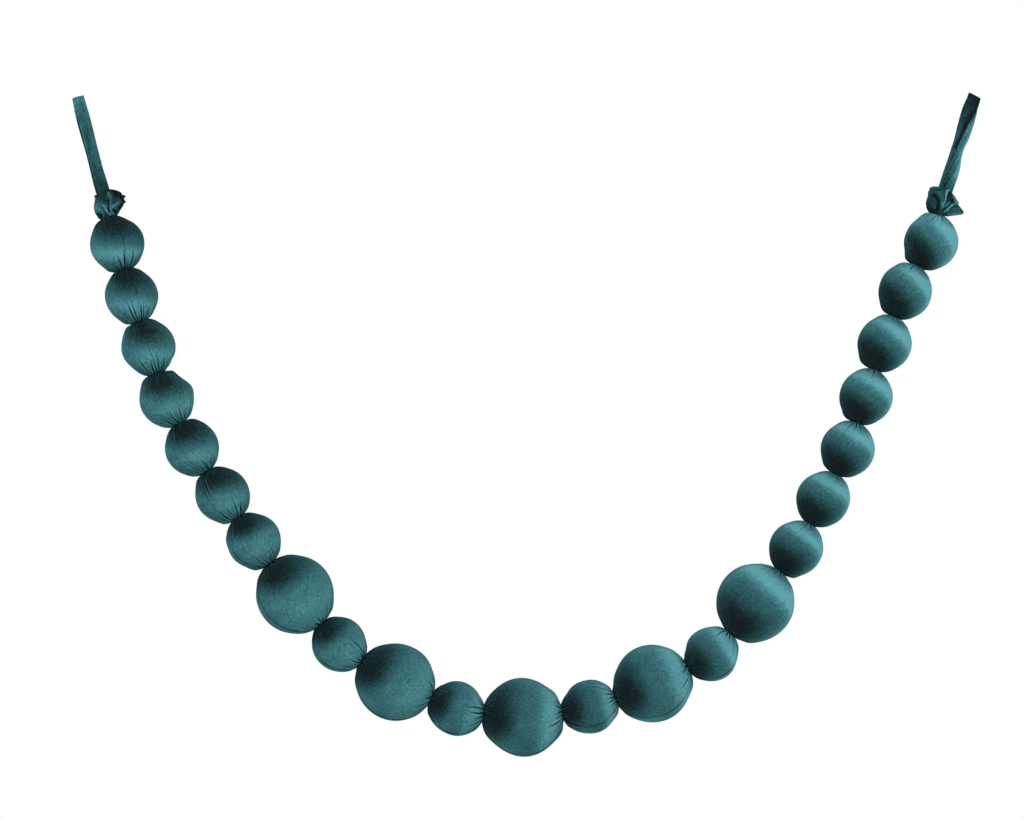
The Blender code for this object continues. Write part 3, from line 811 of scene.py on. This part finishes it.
rightFrill = {
    "heading": 88.0,
    "away": 1.0,
    "restsOn": "ball_23",
    "lip": 0.3,
    "lipShade": 0.0,
    "sag": -1.2,
    "frontGathers": 0.45,
    "toneMiddle": 1.0,
    "rim": [
        (0, 18, 2.7, 1.1, 0), (12, 16.6, 4.6, 1.1, 0), (24, 13.4, 10.4, 1.2, 0),
        (42, 11.8, 13.8, 1.3, 0), (60, 9.6, 16.8, 1.4, 0), (78, 10.2, 18.6, 1.6, 0.4),
        (98, 8.2, 20.4, 1.8, 0.6), (118, 9.4, 21.6, 2, 0.8), (140, 8.2, 22.2, 2.4, 1.4),
        (160, 9, 22.8, 2.4, 2.2), (180, 9.1, 23, 2.2, 4.6), (200, 9.1, 23.6, 2.8, 3.9),
        (220, 8.9, 24, 2.8, 2.6), (240, 7.8, 23.8, 2.6, 2), (258, 6.8, 23, 2.4, 1),
        (275, 6.6, 22.2, 2.2, 0.4), (292, 8.2, 22.4, 2, 0), (308, 9.8, 20.4, 1.8, 0),
        (322, 11.6, 16.6, 1.6, 0), (334, 13.4, 12.8, 1.4, 0), (343, 14.4, 9.2, 1.3, 0),
        (352, 18.4, 4.3, 1.2, 0),
    ],
    "tones": [
        (-2, 0.2, 0.2, 0.4), (6, 0.1, 0.35, 0.5), (14, 0.25, 0.4, 0.6), (25, 0.4, 0.35, 0.5),
    ],
    "frontFolds": [
        (-1.6, 1.5, -0.52, [(-6.6, 16.8), (-5.2, 15.6), (-3.8, 13.6), (-3, 11.2),
            (-3.2, 8.6), (-4, 6.4), (-4.6, 5)]),
        (1.3, 2.4, 0.12, [(-7.2, 12), (-6.8, 8.2)]),
        (0.6, 0.6, 0.34, [(-5.8, 7), (-5.6, 5)]),
        (-0.8, 1.3, -0.14, [(-12.2, 9), (-10.6, 5), (-8, 3.4), (-5.2, 3.2)]),
        (0.9, 1.3, 0.12, [(-2.6, 18.6), (-0.4, 15.8), (0.2, 13.4)]),
        (1.2, 0.5, 0.54, [(5.9, 21.4), (4.7, 20.8), (3.8, 19.4), (3.5, 17.6)]),
        (1, 0.42, 0.4, [(3.5, 17.6), (3.2, 15), (2.8, 12.6), (2, 10.6)]),
        (1.4, 1.2, 0.42, [(0.3, 9.9), (0, 8.2), (0.5, 7.2)]),
        (-2, 2, -0.34, [(6.8, 17.4), (7.4, 14.6), (7, 12.4)]),
        (-1.4, 0.85, -0.55, [(6.2, 18.8), (5, 17), (4.5, 14.4), (4.1, 12.2), (4.2, 10.8)]),
        (-1.8, 0.75, -0.75, [(9.2, 12.5), (7.8, 10.4), (5.8, 8.4), (3.8, 6.6), (2, 5.2)]),
        (-0.8, 1, -0.2, [(8.6, 12.8), (9.2, 11.6)]),
        (0.8, 0.45, 0.32, [(6.7, 11.6), (5.6, 10), (4.2, 8.8), (3, 8)]),
        (1, 0.6, 0.46, [(8.6, 9), (6.3, 7.1), (4.8, 5.5), (3.5, 4.3), (2.4, 3.6)]),
        (1.1, 1.3, 0.44, [(10.8, 16.2), (12.4, 13.2), (13.4, 10.6)]),
        (0.8, 0.9, 0.26, [(12.6, 10.2), (10, 9.4)]),
        (-0.8, 0.55, -0.7, [(9.6, 13.4), (10, 11.6), (9.6, 10.2)]),
        (-0.8, 0.45, -0.6, [(10.6, 8.8), (11.8, 9.8), (12.6, 11)]),
        (0.6, 0.5, 0.26, [(12, 16.2), (13.4, 13.8), (14, 11.6)]),
        (-1.2, 0.8, -0.36, [(7.2, 5.9), (9.8, 7.1), (12.2, 7.6), (15, 8.3)]),
        (0.6, 0.8, 0.34, [(5.2, 1.5), (10.8, 1.4), (16.8, 1.8)]),
        (-0.4, 1.2, -0.06, [(8.8, 4.2), (15.4, 4.6)]),
        (-0.9, 0.5, -0.18, [(-7.6, 21.7), (-2.7, 21.6), (2.4, 21.3)]),
        (0.5, 0.5, 0.12, [(-9.8, 23), (-5.2, 22.6), (-2, 22.8)]),
        (-0.8, 0.9, -0.12, [(0.2, 23.4), (2.2, 22.6)]),
    ],
    "backFolds": [
        (-1.8, 1.4, -0.22, [(5, 1.5), (15, 5)]),
        (1.3, 1.6, 0.12, [(4.6, 2), (11.6, 11.6)]),
        (-2.2, 1.4, -0.25, [(3.4, 2), (7.6, 16)]),
        (1.3, 1.5, 0.12, [(2, 2), (4, 18.6)]),
        (-2.2, 1.4, -0.25, [(0.4, 2), (0.6, 20.4)]),
        (1.3, 1.5, 0.12, [(-1.4, 2), (-3, 21.6)]),
        (-2.2, 1.4, -0.22, [(-3.4, 2), (-5.6, 22.4)]),
        (1.2, 1.7, 0.1, [(-5, 3), (-8.4, 20)]),
    ],
}


# Points, UV and attributes of a frill. From its gathered neck the cloth swings out to the rim by
# 1 - (1 - v) to the power of its swing, swells by 6.75 v (1 - v) squared, and turns out at the lip. Its
# folds move the cloth along its own normal and paint their shade and light into its tone.
def frillSurface(neck, frill):
    cols, rows, neckRadius = frillLook["cols"], frillLook["rows"], frillLook["neckRadius"]
    turns = np.linspace(0.0, 360.0, cols, endpoint=False)
    if frill["away"] < 0.0:
        turns = turns[::-1]
    first, last = np.array(frill["rim"][:3], float), np.array(frill["rim"][-3:], float)
    oneTurn = np.array([360.0, 0.0, 0.0, 0.0, 0.0])
    rim = curveThrough(np.vstack([last - oneTurn, frill["rim"], first + oneTurn]), turns)
    reach, rise, swing, swell = (rim[None, :, k] for k in range(4))
    v = np.linspace(0.0, 1.0, rows)[:, None]
    out = neckRadius + (reach * mm - neckRadius) * (1.0 - (1.0 - v) ** swing)
    lip = smoothStep((v - frillLook["lipFrom"]) / frillLook["lipOver"])
    out = out + swell * mm * 6.75 * v * (1.0 - v) ** 2 + frill["lip"] * mm * lip
    phi = np.radians(turns)[None, :]
    up = rise * mm * v - frillLook["foot"] * (1.0 - v) ** 8
    up = up - frill["sag"] * mm * (1.0 + np.cos(phi)) / 2.0 * (1.0 - v) ** 3
    upward, side = along(frill["heading"]) * frill["away"], outward(frill["heading"])
    spoke = np.cos(phi)[..., None] * side + np.sin(phi)[..., None] * back
    points = neck + up[..., None] * upward + out[..., None] * spoke

    x, z = (points - neck)[..., 0] / mm, (points - neck)[..., 2] / mm
    inFront = smoothStep((0.2 - np.sin(phi)) / 0.4)
    frontHeight, frontTone = foldField(frill["frontFolds"], x, z)
    backHeight, backTone = foldField(frill["backFolds"], x, z)
    height = mm * (backHeight + (frontHeight - backHeight) * inFront)
    gather = np.cos(frillLook["footPleats"] * phi + 1.2 * np.sin(3.0 * phi))
    footDepth = frillLook["footDepth"] * (1.0 + (frill["frontGathers"] - 1.0) * inFront)
    height = height + footDepth * gather * np.exp(-((v / 0.30) ** 2))
    points = points + (height * smoothStep(v / 0.06))[..., None] * gridNormals(points, True)

    # The tone is painted sheen and shade: of the nap by height and across, along the folds, on the foot's
    # gathers, under the lip with painted light on the raw edge in front, and at the foot.
    left, middle, right = (curveThrough(frill["tones"], z)[..., k] for k in range(3))
    u = np.clip((x - frill["toneMiddle"]) / frillLook["toneSpan"], -1.0, 1.0)
    tone = acrossTone(left, middle, right, u) + backTone + (frontTone - backTone) * inFront
    tone = tone + frillLook["footTone"] * gather * np.exp(-((v / 0.16) ** 2))
    edge = smoothStep((v - frillLook["edgeFrom"]) / 0.02) * smoothStep((frillLook["edgeTo"] - x) / 2.0)
    lipShade = frill["lipShade"] * smoothStep((v - frillLook["lipShadeFrom"]) / 0.05)
    tone = tone * (1.0 - lipShade) + frillLook["edgeLight"] * (edge * inFront)
    tone = tone * (1.0 - frillLook["footShade"] * np.exp(-((v / 0.08) ** 2)))
    around = np.linspace(0.0, frillLook["tubeWidth"], cols + 1)
    uv = np.stack(np.broadcast_arrays(around[None, :], v * frillLook["tubeEnd"]), axis=-1)
    return points, uv, {"tone": np.clip(tone, 0.0, 1.1)}


def makeFrills(places, material):
    first, last = places[0], places[-1]
    before, after = first["radius"] + first["halfNecks"][0], last["radius"] + last["halfNecks"][1]
    firstNeck = first["middle"] - before * along(first["headings"][0])
    lastNeck = last["middle"] + after * along(last["headings"][1])
    both = (("frill_left", leftFrill, firstNeck), ("frill_right", rightFrill, lastNeck))
    for name, frill, neck in both:
        points, uv, attributes = frillSurface(neck, frill)
        piece = clothPiece(name, points, True, False, uv, attributes, material)
        thicken(piece, frillLook["thickness"])
        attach(piece, "root")
        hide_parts("velvet_tube")
    print("frills made")


# The strap loops

strapLook = {
    "cut": 10.8 * mm,         # the strap's width
    "thickness": 1.0 * mm,
    "rows": 220,
    "cols": 41,
    "foldRadius": 3.7 * mm,
    "tiedGap": 1.1 * mm,
    "spreadFrom": 8.0 * mm,   # above the tie, where the two runs start to part
    "spreadTo": 40.0 * mm,
    "tiltOver": 14.0 * mm,    # how far down the tilt of the fold reaches
    "edgeRoll": 0.25 * mm,
    "ribAt": 0.74,            # of the half width
    "ribWidth": 0.10,
    "ribDepth": 0.12 * mm,
    "ribTone": 0.04,
    "waver": 0.12 * mm,       # a slow waver along its length
}

# The straps' velvet has a coarser rib than the tube's.
strapVelvet = {
    **velvet,
    "mottle": (330.0, 0.20),
    "speckle": (900.0, 0.22),
    "ribs": (800.0, 0.20),
    "ribStretch": 30.0,
}

# Each strap loop: where it hangs, the lean of its middle line at the top and the foot, how far the tie
# is below the hook, how far the fold's curve starts below it, and how much higher the fold's left edge
# is. Its runs, in front and behind: the depth below the hook, how far to the right the left and right
# edges lie and how far they stand out, all in mm. Their tones are the painted sheen and shade of the nap:
# the depth, and the tone at the left, middle and right. Folds are as on the frills, with painted shade or
# light along them, to the right of the middle line and up from the hook.
leftStrap = {
    "topX": 0.0,
    "lean": (-14.4, -15.4),
    "rise": 94.0 * mm,
    "clearance": 3.6 * mm,
    "tilt": -0.3 * mm,
    "front": [
        (0, -5, 4.4, 0, 0), (14, -6, 5.2, 0, 0.2), (50, -5.7, 4.6, 0, 0), (84, -6.4, 5, 0, 0),
        (94, -5.9, 4.7, 0, 0),
    ],
    "frontTones": [
        (0, 0.8, 0.7, 0.8), (20, 0.5, 0.5, 0.6), (65, 0.4, 0.4, 0.5), (94, 0.15, 0.15, 0.15),
    ],
    "behind": [
        (0, -4.8, 3.6, 0, 0), (14, -5.3, 4.1, 0, 0), (50, -5.3, 3.7, 0, 0.3), (94, -5.5, 3.9, 0, 0),
    ],
    "behindTones": [(0, 0.8, 0.7, 0.8), (20, 0.5, 0.5, 0.5), (94, 0.2, 0.2, 0.2)],
    "frontFolds": [
        (-0.1, 0.5, -0.26, [(-5.3, -18), (-5.1, -50), (-5.4, -80)]),
        (-0.15, 0.8, -0.2, [(0.6, -5), (2, -9), (1.6, -14)]),
        (0.2, 0.6, 0.14, [(-4.2, -22), (-4, -50), (-4.3, -70)]),
        (0.15, 1, 0.07, [(2, -48), (1.4, -62)]),
        (-0.15, 1.3, -0.06, [(-1, -30), (-1.6, -44)]),
        (-0.15, 1.2, -0.07, [(-2.6, -58), (-2.2, -76)]),
    ],
    "behindFolds": [(0.2, 1, 0.06, [(-1, -12), (0.5, -70)])],
}

rightStrap = {
    "topX": 745.5 * mm,
    "lean": (17.2, 15.4),
    "rise": 95.3 * mm,
    "clearance": 2.4 * mm,
    "tilt": 1.6 * mm,
    "front": [
        (0, -4.8, 5.6, 0, 0), (10, -6.4, 5.4, 0, 0.6), (25, -6.3, 1.7, 0, 2.4),
        (45, -5.3, -1.7, 0, 3.6), (65, -6.3, -4.2, 0, 3), (78, -6.5, -4.8, 0, 2.2), (95, -6, -1, 0, 1),
    ],
    "frontTones": [
        (0, 0.1, 0.05, 0.05), (35, 0.45, 0.3, 0.15), (78, 0.4, 0.4, 0.35), (95, 0.2, 0.2, 0.2),
    ],
    "behind": [
        (0, -4.4, 5.8, 0, 0), (15, -4.2, 7.4, 0, 0), (35, -4.4, 6.9, 0, 0), (46, -4.9, 5.2, 0, 0),
        (60, -5.2, 6.8, 0, 0), (80, -5.3, 5.9, 0, 0), (95, -5, 5, 0, 0),
    ],
    "behindTones": [
        (0, 0.2, 0.15, 0.1), (15, 0.55, 0.6, 0.8), (60, 0.5, 0.6, 0.9), (95, 0.2, 0.15, 0.2),
    ],
    "frontFolds": [
        (-0.3, 1.3, -0.28, [(3.9, -9), (2.8, -15), (0.6, -25), (-1.2, -35), (-3, -45)]),
        (0.15, 1.2, 0.08, [(-1.6, -12), (-2.2, -18)]),
        (0.15, 1, 0.1, [(-3.6, -30), (-3.2, -38)]),
    ],
    "behindFolds": [
        (0.5, 0.6, 0.26, [(4.6, -43), (2.8, -54), (0.4, -65), (-3.2, -77)]),
        (-0.5, 0.7, -0.18, [(5.4, -48), (3.8, -55), (1.4, -65), (-2, -77)]),
        (0.3, 0.55, 0.14, [(5, -24), (3.4, -36), (1, -49), (-1.6, -60), (-4.2, -74)]),
        (-0.3, 0.55, -0.2, [(5.9, -28), (4, -38), (1.8, -50), (-0.6, -60), (-3.4, -73)]),
        (-0.3, 0.55, -0.16, [(3.4, -30), (2.2, -38), (-0.4, -50), (-3.2, -62)]),
        (0.3, 1.2, 0.16, [(5.2, -52), (5.6, -60), (4.8, -68)]),
    ],
}


# The columns of a front and a back table at each depth, going over from the one to the other as the
# strap goes over its fold.
def runColumns(front, rear, depth, behind):
    front, rear = curveThrough(front, depth / mm), curveThrough(rear, depth / mm)
    return [column[:, None] for column in (front + (rear - front) * behind).T]


# Points, UV, attributes and length of a strap: up the front, a half circle over the top and down the
# back. Its middle line bends as an arc, whose chord runs at the mean of the leans at its two ends. Each
# run's cloth lies straight across between its two edges, with rolled edges and a rib near each.
def strapSurface(strap):
    start, rise, radius = strap["clearance"], strap["rise"], strapLook["foldRadius"]
    run, arc = rise - start, math.pi * radius
    s = np.linspace(0.0, 2.0 * run + arc, strapLook["rows"])
    depth = np.where(s <= run, rise - s, np.where(s < run + arc, start, start + s - run - arc))
    angle = np.clip((s - run) / arc, 0.0, 1.0) * math.pi
    leanTop, leanFoot = np.radians(strap["lean"])
    lean = leanTop + (leanFoot - leanTop) * depth / rise
    chord = (leanTop + lean) / 2.0
    zero = np.zeros_like(depth)
    middle = np.stack([strap["topX"] - depth * np.sin(chord), zero, -depth * np.cos(chord)], axis=-1)
    across = np.stack([np.cos(lean), zero, -np.sin(lean)], axis=-1)[:, None]
    upward = np.stack([np.sin(lean), zero, np.cos(lean)], axis=-1)[:, None]
    out = np.sin(angle)[:, None, None] * upward - np.cos(angle)[:, None, None] * back
    spreadFrom, spreadTo = strapLook["spreadFrom"], strapLook["spreadTo"]
    spread = smoothStep((rise - depth - spreadFrom) / (spreadTo - spreadFrom))
    reach = strapLook["tiedGap"] + (radius - strapLook["tiedGap"]) * spread

    behind = ((1.0 - np.cos(angle)) / 2.0)[:, None]
    left, right, leftOut, rightOut = runColumns(strap["front"], strap["behind"], depth, behind)
    tones = runColumns(strap["frontTones"], strap["behindTones"], depth, behind)
    u = np.linspace(-1.0, 1.0, strapLook["cols"])[None, :]
    x = left + (right - left) * (u + 1.0) / 2.0
    z = np.broadcast_to(-depth[:, None] / mm, x.shape)
    frontHeight, frontTone = foldField(strap["frontFolds"], x, z)
    backHeight, backTone = foldField(strap["behindFolds"], x, z)
    rib = np.exp(-(((np.abs(u) - strapLook["ribAt"]) / strapLook["ribWidth"]) ** 2))
    raised = leftOut + (rightOut - leftOut) * (u + 1.0) / 2.0
    raised = raised + frontHeight + (backHeight - frontHeight) * behind
    raised = raised * mm - strapLook["edgeRoll"] * np.abs(u) ** 5 - strapLook["ribDepth"] * rib
    raised = raised + strapLook["waver"] * np.sin(s[:, None] * 160.0 + 2.0 * u)
    tip = -u * strap["tilt"] / 2.0 * smoothStep(1.0 - (depth[:, None] - start) / strapLook["tiltOver"])
    points = middle[:, None] + (x * mm)[..., None] * across
    points = points + (reach[:, None] + raised)[..., None] * out + tip[..., None] * upward
    uv = np.stack(np.broadcast_arrays(u * strapLook["cut"] / 2.0, s[:, None]), axis=-1)
    # The tone is the painted sheen and shade of the nap, with painted shade and light along the folds.
    tone = acrossTone(*tones, u) + frontTone + (backTone - frontTone) * behind - strapLook["ribTone"] * rib
    return points, uv, {"tone": np.clip(tone, 0.0, 1.1)}, float(s[-1])


def makeStraps(material):
    for name, strap in (("loop_left", leftStrap), ("loop_right", rightStrap)):
        points, uv, attributes, length = strapSurface(strap)
        piece = clothPiece(name + "_strap", points, False, False, uv, attributes, material)
        thicken(piece, strapLook["thickness"])
        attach(piece, "root")
        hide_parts(name)
    print("strap loops made")


makeCamera()
tubeVelvet = velvetMaterial("tube velvet", velvet)
places = ballPlaces()
makeBalls(places, tubeVelvet)
makeFrills(places, tubeVelvet)
makeStraps(velvetMaterial("strap velvet", strapVelvet))
makeStudio()
